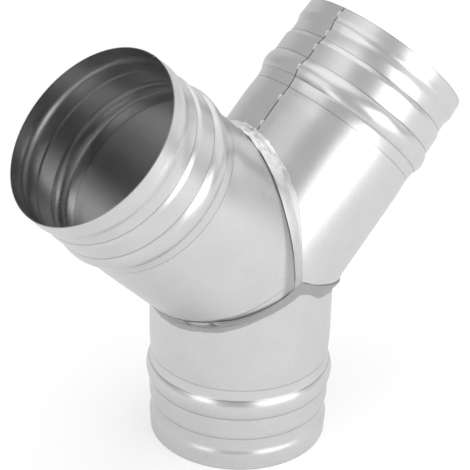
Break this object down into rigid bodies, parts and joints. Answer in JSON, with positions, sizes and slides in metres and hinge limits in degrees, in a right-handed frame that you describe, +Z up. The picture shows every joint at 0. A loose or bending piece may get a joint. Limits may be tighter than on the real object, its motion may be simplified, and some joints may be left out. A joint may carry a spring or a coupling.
{
  "type": "duct y branch",
  "caption": "Sheet metal duct Y branch: a round trunk divides into two equal round branches at right angles, with beaded push-in ends and folded lock seams.",
  "frame": {"origin": "centre of the trunk's rim, on the surface that the part stands on", "axes": "+Z up along the trunk's axis; the branches lean to -X and +X in the XZ plane"},
  "size_m": [0.3918, 0.1552, 0.3549],
  "materials": {
    "sheet_steel": "bright smooth zinc-coated sheet, lightly scuffed"
  },
  "bodies": {
    "root": {"trunk": "sheet_steel", "left_branch": "sheet_steel", "right_branch": "sheet_steel"}
  },
  "joints": []
}
